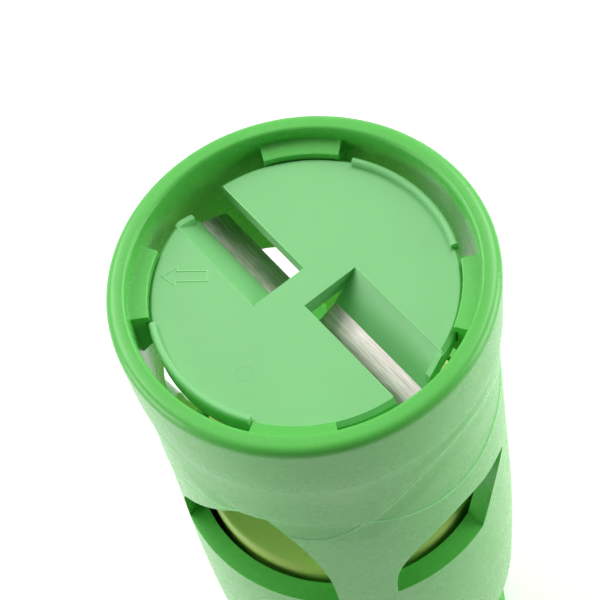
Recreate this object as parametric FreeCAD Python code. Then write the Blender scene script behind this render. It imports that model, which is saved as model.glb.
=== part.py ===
import FreeCAD
import Part
import math
import os

Vector = FreeCAD.Vector

# Spiral vegetable cutter that stands on its crank end, with the cutting end up.
# Millimetres. Z = 0 is the face it stands on, and the tool's axis is the Z axis.
# Depths are measured down from the top of the rim.

# Overall sizes
rim_radius = 35.0
housing_length = 125.0
feed_stroke = 48.0

# Housing wall: thickness at each level, from the rim down
rim_wall = 3.8
waist_wall = 3.1
middle_wall = 3.9
hip_wall = 4.9
foot_wall = 4.7
rim_round = 1.8
rim_inner_round = 0.7
band_depth = 15.4
band_step = 0.25
waist_depth = 30.0
hip_height = 31.0
sill_depth = 70.0

# Blade plate
plate_gap = 2.9
plate_depth = 4.9
plate_thickness = 3.8
plate_edge_chamfer = 0.8
arc_width = 1.45
arc_height = 1.3
arc_half_span = 29.0
arc_middle_angle = 45.5

# Snap hooks
hook_middle_angles = (-4.5, 94.6, 179.9, 270.5)
hook_span = 28.8
hook_reach = 0.3
hook_top_depth = 3.0
hook_lead = 0.6
hook_clearance = 0.2
ledge_reach = 1.6
ledge_thickness = 1.4
hook_edge_gap = 0.4

# Throats and blades
throat_angle = 132.4
web_half_width = 3.0
throat_ramp_side = 9.3
throat_far_side = 2.5
ramp_tip_offset = 3.85
ramp_tip_drop = 2.1
blade_slope = 25.0
blade_overhang = 6.2
blade_thickness = 0.8
blade_bevel = 2.4
blade_top_grind = 0.1
blade_end_gap = 0.2
blade_rim_inset = 0.5
rivet_radius = 1.0
rivet_head_radius = 1.8
rivet_head_height = 0.7
rivet_hole_clearance = 0.05
rivet_back_offset = 3.4
rivet_end_offset = 5.0

# Pusher
pusher_gap = 1.3
pusher_wall = 2.4
face_thickness = 3.4
face_edge_round = 1.3
spigot_length = 5.0
spigot_clearance = 0.1
spigot_wall = 2.0
foot_gap = 0.5
pin_count = 6
pin_circle_radius = 16.0
pin_radius = 1.0
pin_length = 6.0
pin_blade_gap = 0.8
centre_pin_radius = 1.6
friction_ring_drop = 14.3
friction_ring_height = 4.0
friction_ring_gap = 0.2
friction_ring_seat = 0.8

# Guide ring
guide_height = 10.0
guide_skin = 2.0
guide_running_gap = 0.3
guide_lip_height = 1.6
guide_lip_reach = 0.7
guide_bore_gap = 0.3
key_count = 3
key_width = 3.0
key_height = 1.1
keyway_side_gap = 0.3
keyway_end_gap = 0.6

# Crank end
base_overhang = 4.1
base_thickness = 9.0
base_edge_bevel = 1.2
foot_ring_height = 2.0
foot_ring_groove = 1.0
foot_ring_inset = 3.0
foot_ring_width = 5.0
foot_ring_gap = 0.1
foot_ring_bevel = 0.5
base_rib = 0.6
base_recess = 1.0
screw_inset = 5.5
screw_radius = 1.5
screw_head_radius = 2.9
screw_head_height = 1.8
screw_head_sink = 2.4
screw_head_gap = 0.3
screw_length = 12.0
screw_hole_gap = 0.1
boss_radius = 3.6
boss_height = 12.0
boss_web = 1.8

# Crank arm, hinge and knob
hinge_radius = 5.0
hinge_floor_gap = 2.0
hinge_housing_gap = 0.3
ear_thickness = 3.6
ear_side_gap = 0.25
ear_root = 6.0
arm_length = 33.0
arm_width = 15.0
arm_root_width = 11.0
arm_thickness = 6.0
arm_edge_round = 1.0
arm_pocket_depth = 1.2
arm_pocket_margin = 2.6
hinge_pin_radius = 1.6
hinge_pin_gap = 0.05
axle_radius = 2.4
axle_gap = 0.05
axle_head_radius = 4.2
axle_head_height = 1.6
axle_end_inset = 6.0
axle_end_reach = 1.4
axle_end_height = 1.5
axle_end_gap = 0.4
knob_length = 30.0
knob_root_radius = 7.6
knob_swell_radius = 9.4
knob_end_radius = 8.2
knob_root_bevel = 1.0
knob_end_bevel = 1.5
knob_side_gap = 0.4
flute_count = 8
flute_radius = 1.6
flute_depth = 0.5
flute_margin = 4.0
cap_radius = 6.0
cap_thickness = 1.6
cap_gap = 0.1
cap_plug_gap = 0.2

# Worked-out radii
bore_radius = rim_radius - rim_wall
waist_radius = bore_radius + waist_wall
middle_radius = bore_radius + middle_wall
hip_radius = bore_radius + hip_wall
foot_radius = bore_radius + foot_wall
plate_radius = bore_radius - plate_gap
pusher_radius = bore_radius - pusher_gap
tube_inner_radius = pusher_radius - pusher_wall
guide_radius = foot_radius - guide_skin - guide_running_gap
base_radius = pusher_radius + base_overhang
foot_ring_outer = base_radius - foot_ring_inset
foot_ring_inner = foot_ring_outer - foot_ring_width
screw_circle_radius = tube_inner_radius - screw_inset

# Worked-out levels
base_top = base_thickness
housing_foot = base_top + foot_gap + feed_stroke
rim_height = housing_foot + housing_length
plate_top = rim_height - plate_depth
plate_bottom = plate_top - plate_thickness
ramp_tip_height = plate_bottom - ramp_tip_drop
blade_drop = blade_overhang * math.sin(math.radians(blade_slope))
face_top = ramp_tip_height - blade_drop - pin_blade_gap - pin_length - feed_stroke
tube_top = face_top - face_thickness
friction_ring_bottom = tube_top - friction_ring_drop
guide_bottom = housing_foot + guide_lip_height + guide_running_gap
guide_top = guide_bottom + guide_height
hinge_y = foot_radius + hinge_housing_gap + hinge_radius
hinge_z = hinge_radius + hinge_floor_gap
axis_up = Vector(0, 0, 1)
origin = Vector(0, 0, 0)


def polygon(points):
    """Closed planar face through points."""
    return Part.Face(Part.makePolygon(list(points) + [points[0]]))


def turned(face, degrees=360.0):
    """Solid of revolution about Z."""
    return face.revolve(origin, axis_up, degrees)


def ring(outer, inner, bottom, height):
    """Upright ring about the tool's axis."""
    solid = Part.makeCylinder(outer, height, Vector(0, 0, bottom))
    return solid.cut(Part.makeCylinder(inner, height, Vector(0, 0, bottom)))


def rotated(shape, degrees):
    """Copy of a shape turned about the tool's axis."""
    copy = shape.copy()
    copy.rotate(origin, axis_up, degrees)
    return copy


def half_plane(points):
    """Points given as (radius, height) laid in the XZ plane."""
    return [Vector(radius, 0, height) for radius, height in points]


def save(name, shape):
    """Write one piece."""
    shape.removeSplitter().exportStep("parts/" + name + ".step")


# ---------------------------------------------------------------- housing

def housing_skin():
    """Outer form: rounded rim, upper band, slim waist, wide hip above the foot."""
    band_z = rim_height - band_depth
    step_foot = Vector(rim_radius - band_step, 0, band_z - band_step)
    waist = Vector(waist_radius, 0, rim_height - waist_depth)
    hip = Vector(hip_radius, 0, housing_foot + hip_height)
    middle = Vector(middle_radius, 0, 0.5 * (waist.z + hip.z))
    foot = Vector(foot_radius, 0, housing_foot)
    slope = rim_round * (1 - math.sqrt(0.5))
    rim_arc = Part.Arc(
        Vector(rim_radius, 0, rim_height - rim_round),
        Vector(rim_radius - slope, 0, rim_height - slope),
        Vector(rim_radius - rim_round, 0, rim_height),
    )
    edges = [
        Part.makeLine(Vector(rim_radius, 0, band_z), step_foot),
        Part.makeLine(step_foot, waist),
        Part.Arc(waist, middle, hip).toShape(),
        Part.makeLine(hip, foot),
        Part.makeLine(Vector(rim_radius, 0, band_z), Vector(rim_radius, 0, rim_height - rim_round)),
        rim_arc.toShape(),
        Part.makeLine(Vector(rim_radius - rim_round, 0, rim_height), Vector(0, 0, rim_height)),
        Part.makeLine(Vector(0, 0, rim_height), Vector(0, 0, housing_foot)),
        Part.makeLine(Vector(0, 0, housing_foot), foot),
    ]
    return turned(Part.Face(Part.Wire(Part.__sortEdges__(edges))))


def housing_bore():
    """Everything hollow on the axis: bore, rounded mouth and the guide ring's seat."""
    bore = Part.makeCylinder(bore_radius, housing_length, Vector(0, 0, housing_foot))
    mouth = Part.makeCone(
        bore_radius, bore_radius + rim_inner_round, rim_inner_round,
        Vector(0, 0, rim_height - rim_inner_round))
    seat_radius = guide_radius + guide_running_gap
    seat = Part.makeCylinder(
        seat_radius, guide_height + 2 * guide_running_gap, Vector(0, 0, housing_foot + guide_lip_height))
    lip = Part.makeCylinder(seat_radius - guide_lip_reach, guide_lip_height, Vector(0, 0, housing_foot))
    return bore.fuse([mouth, seat, lip])


def snap_hook(middle_angle):
    """Hook over the plate's edge, rib behind it and ledge under it."""
    top = rim_height - hook_top_depth
    under = plate_top - hook_reach
    edge = plate_radius - hook_reach
    wall = bore_radius + 0.6
    rib = plate_radius + hook_edge_gap
    ledge_edge = plate_radius - ledge_reach
    profile = half_plane([
        (wall, top),
        (bore_radius, top),
        (edge, top - hook_lead),
        (edge, under),
        (rib, under),
        (rib, plate_bottom),
        (ledge_edge, plate_bottom),
        (ledge_edge, plate_bottom - ledge_thickness),
        (bore_radius, plate_bottom - ledge_thickness - (bore_radius - ledge_edge)),
        (wall, plate_bottom - ledge_thickness - (bore_radius - ledge_edge)),
    ])
    return rotated(turned(polygon(profile), hook_span), middle_angle - 0.5 * hook_span)


# Window outlines: (angle round the housing, depth below the rim) along each curve above the sill
front_left_rise = [(-152, sill_depth), (-150, 60), (-144.8, 53), (-134, 45.2), (-122, 37.6), (-112.5, 32.3)]
front_left_fall = [(-105.4, 31.9), (-100.7, 36.0), (-93, 46.5), (-88.5, 58), (-87, sill_depth)]
right_rise = [(-68, sill_depth), (-65.5, 60), (-60, 54.8), (-51.4, 51.2), (-43.5, 49.3), (-36, 49.2),
              (-27, 51.0), (-18, 53.2), (-11.5, 55.8)]
right_fall = [(-11.5, 56.4), (-17.8, 58.9), (-25.2, 64.2), (-31, sill_depth)]
rear_left_rise = [(103, sill_depth), (104.5, 55), (108, 44.5), (113, 38), (119, 36), (140, 33.5),
                  (165, 32.8), (176.5, 33.8), (180, 38), (179, 43)]
rear_left_fall = [(178, 44.8), (174, 47.2), (170.3, 54.5), (165.6, 64), (163, sill_depth)]
front_left_middle = -119.0
right_middle = -40.0
rear_left_middle = 138.0
window_copy_turn = 173.0


def window_core(head_curves, middle_angle):
    """Straight side core that opens one window, drawn from its curves and closed along the sill."""
    facing = middle_radius
    curves = []
    for outline in head_curves:
        points = []
        for angle, depth in outline:
            across = facing * math.sin(math.radians(angle - middle_angle))
            points.append(Vector(0, across, rim_height - depth))
        curve = Part.BSplineCurve()
        curve.interpolate(points)
        curves.append((curve.toShape(), points))
    edges = [curve for curve, points in curves]
    for (first, first_points), (second, second_points) in zip(curves, curves[1:]):
        edges.append(Part.makeLine(first_points[-1], second_points[0]))
    edges.append(Part.makeLine(curves[-1][1][-1], curves[0][1][0]))
    face = Part.Face(Part.Wire(Part.__sortEdges__(edges)))
    core = face.extrude(Vector(hip_radius + 5.0, 0, 0))
    return rotated(core, middle_angle)


def make_housing():
    shell = housing_skin().cut(housing_bore())
    front_left = window_core([front_left_rise, front_left_fall], front_left_middle)
    cores = [
        front_left,
        window_core([right_rise, right_fall], right_middle),
        rotated(front_left, window_copy_turn),
        window_core([rear_left_rise, rear_left_fall], rear_left_middle),
    ]
    shell = shell.cut(cores)
    return shell.fuse([snap_hook(angle) for angle in hook_middle_angles])


# ---------------------------------------------------------------- blade plate and blades

def in_throat(shape, half_turns):
    """Place a shape drawn with +X out along the throat and +Y towards its far wall."""
    return rotated(shape, throat_angle - 180.0 * half_turns)


def throat_point(along, across, height):
    """The far wall lies to the right of the throat's outward direction."""
    return Vector(along, -across, height)


def throat_prism(section, start, end):
    """Prism of a (across, height) section between two places along the throat."""
    face = polygon([throat_point(start, across, height) for across, height in section])
    return face.extrude(Vector(end - start, 0, 0))


def blade_direction():
    """Unit step (across, height) down the blade towards its edge."""
    slope = math.radians(blade_slope)
    return (math.cos(slope), -math.sin(slope))


def seat_point(distance):
    """Point on the blade's seat, measured up from the ramp's tip."""
    step_across, step_height = blade_direction()
    return (-ramp_tip_offset - distance * step_across, ramp_tip_height - distance * step_height)


def seat_length():
    """How far the seat runs from the ramp's tip up to the plate's underside."""
    return ramp_tip_drop / math.sin(math.radians(blade_slope))


def raised_arc(middle_angle):
    """Rounded bead on the plate's edge between two hooks."""
    outer = plate_radius
    inner = plate_radius - arc_width
    middle = 0.5 * (outer + inner)
    shoulder = plate_top + arc_height - 0.5 * arc_width
    crown = Part.Arc(
        Vector(outer, 0, shoulder), Vector(middle, 0, shoulder + 0.5 * arc_width), Vector(inner, 0, shoulder))
    foot = plate_top - plate_edge_chamfer
    edges = [
        crown.toShape(),
        Part.makeLine(Vector(inner, 0, shoulder), Vector(inner, 0, foot)),
        Part.makeLine(Vector(inner, 0, foot), Vector(outer, 0, foot)),
        Part.makeLine(Vector(outer, 0, foot), Vector(outer, 0, shoulder)),
    ]
    face = Part.Face(Part.Wire(Part.__sortEdges__(edges)))
    return rotated(turned(face, 2 * arc_half_span), middle_angle - arc_half_span)


def make_blade_plate():
    disc = turned(polygon(half_plane([
        (0, plate_bottom),
        (plate_radius, plate_bottom),
        (plate_radius, plate_top - plate_edge_chamfer),
        (plate_radius - plate_edge_chamfer, plate_top),
        (0, plate_top),
    ])))
    reach = plate_radius + 2.0
    opening = [
        (-throat_ramp_side, plate_bottom - 1.0),
        (throat_far_side, plate_bottom - 1.0),
        (throat_far_side, plate_top + 1.0),
        (-throat_ramp_side, plate_top + 1.0),
    ]
    ramp = [
        (-throat_ramp_side, plate_top),
        seat_point(0),
        seat_point(seat_length()),
        (-throat_ramp_side, plate_bottom),
    ]
    rim_cylinder = Part.makeCylinder(plate_radius, 20.0, Vector(0, 0, plate_top - 15.0))
    plate = disc
    for half_turns in (0, 1):
        plate = plate.cut(in_throat(throat_prism(opening, web_half_width, reach), half_turns))
        wedge = in_throat(throat_prism(ramp, web_half_width, reach), half_turns)
        plate = plate.fuse(wedge.common(rim_cylinder))
    arcs = [raised_arc(arc_middle_angle), raised_arc(arc_middle_angle + 180.0)]
    return plate.fuse(arcs)


def rivet_places():
    """Distances along the throat where a blade is riveted."""
    start = web_half_width + rivet_end_offset
    end = math.sqrt(plate_radius ** 2 - throat_ramp_side ** 2) - rivet_end_offset
    return (start, end)


def seat_frame_cylinder(radius, along, start, length):
    """Cylinder square to the blade, start measured down from the seat."""
    across, height = seat_point(rivet_back_offset)
    step_across, step_height = blade_direction()
    normal = throat_point(0, step_height, -step_across)
    centre = throat_point(along, across, height)
    return Part.makeCylinder(radius, length, centre + normal * start, normal)


def blade_point(distance, below):
    """Point of the blade's section: distance up from the ramp's tip, then square below the seat."""
    across, height = seat_point(distance)
    step_across, step_height = blade_direction()
    return (across + below * step_height, height - below * step_across)


def make_blade(half_turns):
    """Flat blade on the ramp's seat, ground a little above and in a long bevel below its edge."""
    back = seat_length() - blade_end_gap
    grind = blade_bevel - blade_overhang
    section = [
        blade_point(back, 0),
        blade_point(grind, 0),
        blade_point(-blade_overhang, blade_top_grind),
        blade_point(grind, blade_thickness),
        blade_point(back, blade_thickness),
    ]
    blade = throat_prism(section, web_half_width + blade_end_gap, plate_radius + 2.0)
    trim = Part.makeCylinder(plate_radius - blade_rim_inset, 30.0, Vector(0, 0, plate_top - 20.0))
    for along in rivet_places():
        hole = seat_frame_cylinder(rivet_radius + rivet_hole_clearance, along, -1.0, 4.0)
        blade = blade.cut(hole)
    return in_throat(blade, half_turns).common(trim)


def make_rivets(half_turns):
    """Two rivets: shank through the blade and a low head below it."""
    solids = []
    for along in rivet_places():
        shank = seat_frame_cylinder(rivet_radius, along, 0.0, blade_thickness)
        head = seat_frame_cylinder(rivet_head_radius, along, blade_thickness, rivet_head_height)
        solids.append(in_throat(shank.fuse(head).removeSplitter(), half_turns))
    return Part.Compound(solids)


# ---------------------------------------------------------------- guide ring and pusher

def key_block(outer, inner, width, bottom, height, index):
    """Block on one key's centre line between two radii."""
    block = Part.makeBox(outer - inner, width, height, Vector(inner, -0.5 * width, bottom))
    return rotated(block, index * 360.0 / key_count)


def make_guide_ring():
    inner = pusher_radius + guide_bore_gap
    body = ring(guide_radius, inner, guide_bottom, guide_height)
    neck_radius = guide_radius - guide_lip_reach
    neck = ring(neck_radius, inner, housing_foot, guide_bottom - housing_foot)
    keys = []
    for index in range(key_count):
        tip = pusher_radius - key_height
        height = guide_top - housing_foot
        keys.append(key_block(inner + 0.8, tip, key_width, housing_foot, height, index))
    return body.fuse([neck] + keys)


def make_pusher_tube():
    tube = ring(pusher_radius, tube_inner_radius, base_top, tube_top - base_top)
    groove_floor = pusher_radius - key_height - guide_bore_gap
    groove_top = guide_top + keyway_end_gap
    cuts = []
    for index in range(key_count):
        width = key_width + 2 * keyway_side_gap
        cuts.append(key_block(pusher_radius + 2, groove_floor, width, base_top, groove_top - base_top, index))
    seat = ring(pusher_radius + 2, pusher_radius - friction_ring_seat, friction_ring_bottom, friction_ring_height)
    tube = tube.cut(cuts + [seat])
    bosses = []
    for index in range(key_count):
        place = screw_place(index, base_top)
        boss = Part.makeCylinder(boss_radius, boss_height, place)
        web = Part.makeBox(screw_inset + 0.5, boss_web, boss_height,
                           Vector(screw_circle_radius, -0.5 * boss_web, base_top))
        boss = boss.fuse(rotated(web, screw_angle(index)))
        bosses.append(boss.cut(Part.makeCylinder(screw_radius + screw_hole_gap, boss_height, place)))
    return tube.fuse(bosses)


def screw_angle(index):
    return 60.0 + index * 360.0 / key_count


def screw_place(index, height):
    angle = math.radians(screw_angle(index))
    return Vector(screw_circle_radius * math.cos(angle), screw_circle_radius * math.sin(angle), height)


def make_pusher_face():
    disc = Part.makeCylinder(pusher_radius, face_thickness, Vector(0, 0, tube_top))
    top_edge = [edge for edge in disc.Edges if edge.BoundBox.ZMin > face_top - 0.01]
    disc = disc.makeFillet(face_edge_round, top_edge)
    spigot_radius = tube_inner_radius - spigot_clearance
    spigot = ring(spigot_radius, spigot_radius - spigot_wall, tube_top - spigot_length, spigot_length)
    face = disc.fuse(spigot)
    sockets = [Part.makeCylinder(pin_radius, face_thickness, place) for place in pin_places(tube_top)]
    sockets.append(Part.makeCylinder(centre_pin_radius, face_thickness, Vector(0, 0, tube_top)))
    return face.cut(sockets)


def pin_places(height):
    """Centres of the pins on their circle."""
    places = []
    for index in range(pin_count):
        angle = 2 * math.pi * index / pin_count
        places.append(Vector(pin_circle_radius * math.cos(angle), pin_circle_radius * math.sin(angle), height))
    return places


def pointed_pin(radius, place, length):
    """Round pin with a conical point."""
    point = 2.2 * radius
    shank = Part.makeCylinder(radius, length - point, place)
    tip = Part.makeCone(radius, 0.15 * radius, point, place + Vector(0, 0, length - point))
    return shank.fuse(tip).removeSplitter()


def make_food_pins():
    length = face_thickness + pin_length
    return Part.Compound([pointed_pin(pin_radius, place, length) for place in pin_places(tube_top)])


def make_centre_pin():
    return pointed_pin(centre_pin_radius, Vector(0, 0, tube_top), face_thickness + pin_length)


def make_friction_ring():
    outer = bore_radius - friction_ring_gap
    inner = pusher_radius - friction_ring_seat
    bottom = friction_ring_bottom
    middle = bottom + 0.5 * friction_ring_height
    return turned(polygon(half_plane([
        (inner, bottom),
        (pusher_radius + 0.2, bottom),
        (outer, middle - 0.7),
        (outer, middle + 0.7),
        (pusher_radius + 0.2, bottom + friction_ring_height),
        (inner, bottom + friction_ring_height),
    ])))


# ---------------------------------------------------------------- crank end

def make_crank_base():
    disc = Part.makeCylinder(base_radius, base_top - foot_ring_groove, Vector(0, 0, foot_ring_groove))
    outer_edges = [edge for edge in disc.Edges if abs(edge.BoundBox.XMax - base_radius) < 0.1
                   and edge.BoundBox.ZLength < 0.01]
    disc = disc.makeChamfer(base_edge_bevel, outer_edges)
    groove = ring(foot_ring_outer + foot_ring_gap, foot_ring_inner - foot_ring_gap, 0.0, foot_ring_height)
    recess = Part.makeCylinder(foot_ring_inner - base_rib, base_recess, Vector(0, 0, foot_ring_groove))
    base = disc.cut([groove, recess])
    for index in range(key_count):
        base = base.cut(Part.makeCylinder(screw_radius + screw_hole_gap, base_top, screw_place(index, 0)))
        base = base.cut(Part.makeCylinder(screw_head_radius + screw_head_gap, screw_seat(), screw_place(index, 0)))
    return base.fuse(hinge_ears())


def screw_seat():
    """Height of the recess floors that the screw heads bear on."""
    return foot_ring_groove + screw_head_height + screw_head_sink


def hinge_ears():
    """Two ears that reach from the disc to the hinge line."""
    ears = []
    barrel_half = 0.5 * arm_root_width
    start = barrel_half + ear_side_gap
    for x in (start, -start - ear_thickness):
        knuckle = Part.makeCylinder(hinge_radius, ear_thickness, Vector(x, hinge_y, hinge_z), Vector(1, 0, 0))
        low = hinge_z - hinge_radius
        root = base_radius - ear_root
        arm = Part.makeBox(ear_thickness, hinge_y - root, base_top - low, Vector(x, root, low))
        ear = knuckle.fuse(arm)
        ears.append(ear.cut(Part.makeCylinder(hinge_pin_radius, 60.0, Vector(-30, hinge_y, hinge_z),
                                              Vector(1, 0, 0))))
    return ears


def make_base_screws():
    solids = []
    for index in range(key_count):
        seat = screw_seat()
        shank = Part.makeCylinder(screw_radius, screw_length, screw_place(index, seat))
        head = Part.makeCylinder(screw_head_radius, screw_head_height, screw_place(index, seat - screw_head_height))
        solids.append(shank.fuse(head).removeSplitter())
    return Part.Compound(solids)


def make_foot_ring():
    ring_solid = ring(foot_ring_outer, foot_ring_inner, 0.0, foot_ring_height)
    edges = [edge for edge in ring_solid.Edges if edge.BoundBox.ZMax < 0.01]
    return ring_solid.makeChamfer(foot_ring_bevel, edges)


def make_arm_pin():
    reach = 0.5 * arm_root_width + ear_side_gap + ear_thickness
    pin = Part.makeCylinder(hinge_pin_radius, 2 * reach, Vector(-reach, hinge_y, hinge_z), Vector(1, 0, 0))
    return pin


# ---------------------------------------------------------------- crank arm and knob

def make_crank_arm():
    """Upright arm: hinge barrel at the foot, widening to a round end that carries the axle."""
    end_z = hinge_z + arm_length
    half = 0.5 * arm_width
    root = 0.5 * arm_root_width
    back = hinge_y - 0.5 * arm_thickness
    end_arc = Part.Arc(Vector(half, back, end_z), Vector(0, back, end_z + half), Vector(-half, back, end_z))
    outline = [
        Part.makeLine(Vector(-root, back, hinge_z), Vector(root, back, hinge_z)),
        Part.makeLine(Vector(root, back, hinge_z), Vector(root, back, hinge_z + hinge_radius + 1.0)),
        Part.makeLine(Vector(root, back, hinge_z + hinge_radius + 1.0), Vector(half, back, end_z)),
        end_arc.toShape(),
        Part.makeLine(Vector(-half, back, end_z), Vector(-root, back, hinge_z + hinge_radius + 1.0)),
        Part.makeLine(Vector(-root, back, hinge_z + hinge_radius + 1.0), Vector(-root, back, hinge_z)),
    ]
    bar = Part.Face(Part.Wire(Part.__sortEdges__(outline))).extrude(Vector(0, arm_thickness, 0))
    barrel = Part.makeCylinder(hinge_radius, arm_root_width, Vector(-root, hinge_y, hinge_z), Vector(1, 0, 0))
    arm = bar.fuse(barrel).removeSplitter()
    arm = arm.cut(Part.makeCylinder(hinge_pin_radius + hinge_pin_gap, 40.0, Vector(-20, hinge_y, hinge_z),
                                    Vector(1, 0, 0)))
    arm = arm.cut(Part.makeCylinder(axle_radius, 40.0, Vector(0, hinge_y - 20, end_z), Vector(0, 1, 0)))
    head_seat = Part.makeCylinder(axle_head_radius, axle_head_height, Vector(0, back, end_z), Vector(0, 1, 0))
    arm = arm.cut(head_seat)
    pocket = Part.makeBox(arm_root_width - 2 * arm_pocket_margin, arm_pocket_depth, arm_length - 19.0,
                          Vector(-0.5 * arm_root_width + arm_pocket_margin, back + arm_thickness - arm_pocket_depth,
                                 hinge_z + hinge_radius + 3.0))
    return arm.cut(pocket)


def along_knob(radius, start, length):
    """Cylinder on the knob's axis, start measured out from the arm's outer face."""
    face = hinge_y + 0.5 * arm_thickness
    return Part.makeCylinder(radius, length, Vector(0, face + start, hinge_z + arm_length), Vector(0, 1, 0))


def make_knob_axle():
    head = along_knob(axle_head_radius, -arm_thickness, axle_head_height)
    end = knob_side_gap + knob_length - axle_end_inset
    shank = along_knob(axle_radius, -arm_thickness, arm_thickness + end)
    end_head = along_knob(axle_radius + axle_end_reach, end, axle_end_height)
    return head.fuse([shank, end_head]).removeSplitter()


def make_crank_knob():
    """Barrel-shaped knob with flutes, bored for the axle and its head."""
    face = hinge_y + 0.5 * arm_thickness + knob_side_gap
    end = face + knob_length
    swell = Part.Arc(
        Vector(knob_root_radius, face + knob_root_bevel, 0),
        Vector(knob_swell_radius, face + 0.6 * knob_length, 0),
        Vector(knob_end_radius, end - knob_end_bevel, 0),
    )
    edges = [
        Part.makeLine(Vector(0, face, 0), Vector(knob_root_radius - knob_root_bevel, face, 0)),
        Part.makeLine(Vector(knob_root_radius - knob_root_bevel, face, 0),
                      Vector(knob_root_radius, face + knob_root_bevel, 0)),
        swell.toShape(),
        Part.makeLine(Vector(knob_end_radius, end - knob_end_bevel, 0),
                      Vector(knob_end_radius - knob_end_bevel, end, 0)),
        Part.makeLine(Vector(knob_end_radius - knob_end_bevel, end, 0), Vector(0, end, 0)),
        Part.makeLine(Vector(0, end, 0), Vector(0, face, 0)),
    ]
    profile = Part.Face(Part.Wire(Part.__sortEdges__(edges)))
    knob = profile.revolve(origin, Vector(0, 1, 0), 360)
    knob.translate(Vector(0, 0, hinge_z + arm_length))
    cuts = [
        along_knob(axle_radius + axle_gap, 0, knob_side_gap + knob_length),
        along_knob(axle_radius + axle_end_reach + axle_end_gap,
                   knob_side_gap + knob_length - axle_end_inset - axle_end_gap, axle_end_inset + axle_end_gap),
        along_knob(cap_radius + cap_gap, knob_side_gap + knob_length - cap_thickness, cap_thickness),
    ]
    for index in range(flute_count):
        angle = 2 * math.pi * index / flute_count
        distance = knob_swell_radius + flute_radius - flute_depth
        centre = Vector(distance * math.cos(angle), face + flute_margin,
                        hinge_z + arm_length + distance * math.sin(angle))
        cuts.append(Part.makeCylinder(flute_radius, knob_length - 2 * flute_margin, centre, Vector(0, 1, 0)))
    return knob.cut(cuts)


def make_knob_cap():
    cap = along_knob(cap_radius, knob_side_gap + knob_length - cap_thickness, cap_thickness)
    plug_length = axle_end_inset - axle_end_height - cap_thickness - cap_plug_gap
    plug = along_knob(axle_radius + axle_end_reach + axle_end_gap - cap_plug_gap,
                      knob_side_gap + knob_length - cap_thickness - plug_length, plug_length)
    return cap.fuse(plug).removeSplitter()


os.makedirs("parts", exist_ok=True)
save("housing", make_housing())
save("blade_plate", make_blade_plate())
save("blade_a", make_blade(0))
save("blade_b", make_blade(1))
save("rivets_a", make_rivets(0))
save("rivets_b", make_rivets(1))
save("guide_ring", make_guide_ring())
save("pusher_tube", make_pusher_tube())
save("pusher_face", make_pusher_face())
save("food_pins", make_food_pins())
save("centre_pin", make_centre_pin())
save("friction_ring", make_friction_ring())
save("crank_base", make_crank_base())
save("base_screws", make_base_screws())
save("foot_ring", make_foot_ring())
save("arm_pin", make_arm_pin())
save("crank_arm", make_crank_arm())
save("knob_axle", make_knob_axle())
save("crank_knob", make_crank_knob())
save("knob_cap", make_knob_cap())
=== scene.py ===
import math
import bmesh
import bpy
import numpy as np
from bpy.props import FloatProperty, FloatVectorProperty, PointerProperty
from mathutils import Matrix, Vector


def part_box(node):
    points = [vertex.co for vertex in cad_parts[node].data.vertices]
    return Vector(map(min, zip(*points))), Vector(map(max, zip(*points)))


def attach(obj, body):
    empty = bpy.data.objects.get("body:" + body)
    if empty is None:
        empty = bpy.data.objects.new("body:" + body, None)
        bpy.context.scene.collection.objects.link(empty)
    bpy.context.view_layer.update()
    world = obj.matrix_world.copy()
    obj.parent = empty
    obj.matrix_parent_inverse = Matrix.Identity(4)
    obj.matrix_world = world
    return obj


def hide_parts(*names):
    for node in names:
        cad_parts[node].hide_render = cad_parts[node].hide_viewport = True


bl_info = {
    "name": "Spiral Vegetable Cutter",
    "version": (1, 0, 0),
    "blender": (4, 5, 0),
    "location": "View3D > Sidebar > Spiral Cutter",
    "description": "Finishes a crank-driven spiral vegetable cutter on its packed frame",
    "category": "Add Mesh",
}

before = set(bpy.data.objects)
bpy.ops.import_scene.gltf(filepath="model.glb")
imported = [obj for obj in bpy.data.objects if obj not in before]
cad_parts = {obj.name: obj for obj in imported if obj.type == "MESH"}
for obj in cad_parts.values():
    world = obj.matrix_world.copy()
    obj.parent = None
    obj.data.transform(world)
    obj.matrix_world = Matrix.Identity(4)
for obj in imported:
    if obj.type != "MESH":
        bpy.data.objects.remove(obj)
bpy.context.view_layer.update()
millimetre = 0.001
rim_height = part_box("housing")[1].z
foot_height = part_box("housing")[0].z


def linear(hex_colour):
    """Linear RGBA from an sRGB hex colour."""
    channels = [int(hex_colour[i:i + 2], 16) / 255 for i in (0, 2, 4)]
    return tuple(c / 12.92 if c <= 0.04045 else ((c + 0.055) / 1.055) ** 2.4 for c in channels) + (1.0,)


# ---------------------------------------------------------------- sizes and colours

class CutterSizes(bpy.types.PropertyGroup):
    """Sizes of the housing and the blade plate."""
    rim_radius: FloatProperty(
        name="Rim radius", description="Outside radius of the rim", default=0.035, unit="LENGTH")
    bore_radius: FloatProperty(
        name="Bore radius", description="Inside radius of the tube", default=0.0312, unit="LENGTH")
    rim_round: FloatProperty(
        name="Rim rounding", description="Radius of the rim's outer edge", default=0.0018, unit="LENGTH")
    rim_inner_round: FloatProperty(
        name="Inner rounding", description="Radius of the rim's inner edge", default=0.0008, unit="LENGTH")
    wave_step: FloatProperty(
        name="Wave step", description="Height of the moulded waves round the waist", default=0.00035, unit="LENGTH")
    wave_line: FloatProperty(
        name="Wave line", description="Width of the rounded edge along each wave", default=0.0008, unit="LENGTH")
    plate_edge: FloatProperty(
        name="Plate edge", description="Width of the rounded edge round each throat", default=0.0003, unit="LENGTH")
    arrow_line: FloatProperty(
        name="Arrow line", description="Width of the arrow's line where it leaves the plate", default=0.00045,
        unit="LENGTH")


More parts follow.
